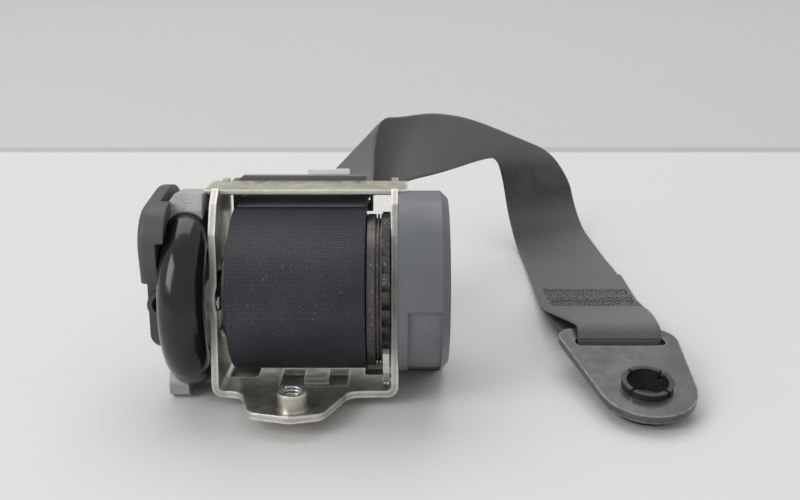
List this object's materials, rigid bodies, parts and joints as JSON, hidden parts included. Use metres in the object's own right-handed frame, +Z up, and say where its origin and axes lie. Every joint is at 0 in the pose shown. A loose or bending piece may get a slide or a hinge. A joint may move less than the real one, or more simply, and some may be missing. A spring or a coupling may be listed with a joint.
{
  "type": "seat belt retractor",
  "caption": "Rear seat belt: steel-framed retractor with ball pretensioner, webbing roll, free webbing with a fold, and a bolt-on anchor plate.",
  "frame": {"origin": "on the table, below the middle of the retractor's bounding box, measured without the free webbing", "axes": "+Z up, X along the spool with the free webbing and anchor plate on +X, -Y towards the viewer"},
  "size_m": [0.1933, 0.2212, 0.0811],
  "materials": {
    "zinc_steel": "yellow zinc plating",
    "steel": "machined",
    "cast_zinc": "die-cast, matt",
    "black_paint": "gloss black",
    "grey_plastic": "moulded, fine grain",
    "dark_plastic": "moulded",
    "webbing": "woven polyester",
    "thread": "sewing thread",
    "plate_paint": "satin black",
    "spool_metal": "die-cast",
    "clip_metal": "bright",
    "seal_rubber": "matt"
  },
  "bodies": {
    "retractor": {"frame": "zinc_steel", "tie_bar": "zinc_steel", "bracket_rivet": "steel", "webbing_guide": "dark_plastic", "guide_clip": "clip_metal", "pawl_pin": "steel", "lock_cover": "grey_plastic", "sensor_housing": "dark_plastic", "pretensioner_housing": "cast_zinc", "pretensioner_tube": "black_paint", "gas_generator": "steel", "return_spring": "steel", "spring_cover": "dark_plastic", "connector_socket": "dark_plastic", "belt_webbing": "webbing", "belt_tail": "webbing", "belt_stitching": "thread"},
    "spool": {"spool": "spool_metal", "webbing_roll": "webbing", "webbing_pin": "steel", "ratchet_wheel": "spool_metal", "torsion_bar": "steel", "lock_gear": "grey_plastic", "drive_wheel": "cast_zinc", "spring_arbor": "dark_plastic"},
    "lock_pawl": {"lock_pawl": "steel"},
    "sensor_lever": {"sensor_lever": "grey_plastic", "sensor_ball": "steel"},
    "drive_train": {"piston_seal": "seal_rubber", "drive_ball_1": "steel", "drive_ball_2": "steel", "drive_ball_3": "steel", "drive_ball_4": "steel", "drive_ball_5": "steel", "drive_ball_6": "steel", "drive_ball_7": "steel"},
    "anchor": {"anchor_plate": "plate_paint", "anchor_bush": "dark_plastic", "anchor_collar": "dark_plastic"}
  },
  "joints": [
    {"name": "spool_spin", "type": "hinge", "parent": "retractor", "child": "spool", "pos_m": [0.00217, 0.00561, 0.0364], "axis": [1, 0, 0], "continuous": true},
    {"name": "pawl_swing", "type": "hinge", "parent": "retractor", "child": "lock_pawl", "pos_m": [0.03018, -0.0119, 0.00948], "axis": [1, 0, 0], "range_deg": [0, 9]},
    {"name": "lever_swing", "type": "hinge", "parent": "retractor", "child": "sensor_lever", "pos_m": [0.04587, 0.01795, 0.01982], "axis": [-1, 0, 0], "range_deg": [0, 4]},
    {"name": "drive_balls_travel", "type": "hinge", "parent": "retractor", "child": "drive_train", "pos_m": [-0.03828, 0.00547, 0.03501], "axis": [1, 0, 0], "range_deg": [0, 12]},
    {"name": "anchor_swing", "type": "hinge", "parent": "retractor", "child": "anchor", "pos_m": [0.11828, 0.01737, 0.01208], "axis": [-1, 0, 0], "range_deg": [0, 70]}
  ]
}
